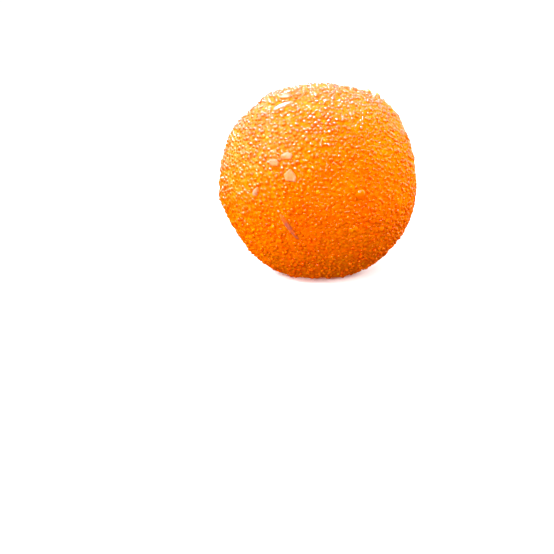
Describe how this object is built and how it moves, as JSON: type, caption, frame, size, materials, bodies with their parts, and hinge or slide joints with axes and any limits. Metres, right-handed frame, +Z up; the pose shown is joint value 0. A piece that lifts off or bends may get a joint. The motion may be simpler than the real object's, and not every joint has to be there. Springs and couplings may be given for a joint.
{
  "type": "motichoor ladoo",
  "caption": "Hand-rolled sweet ball of tiny fried gram-flour pearls soaked in syrup, with melon seeds and nut chips, resting on a small flat spot.",
  "frame": {"origin": "centre of the small flat foot that the ball rests on", "axes": "+Z up, -Y towards the front, the side with the melon seed and nut chips"},
  "size_m": [0.0448, 0.0452, 0.0433],
  "materials": {
    "pressed_boondi": "moist, syrup-glazed and bumpy"
  },
  "bodies": {
    "root": {"ladoo": "pressed_boondi"}
  },
  "joints": []
}
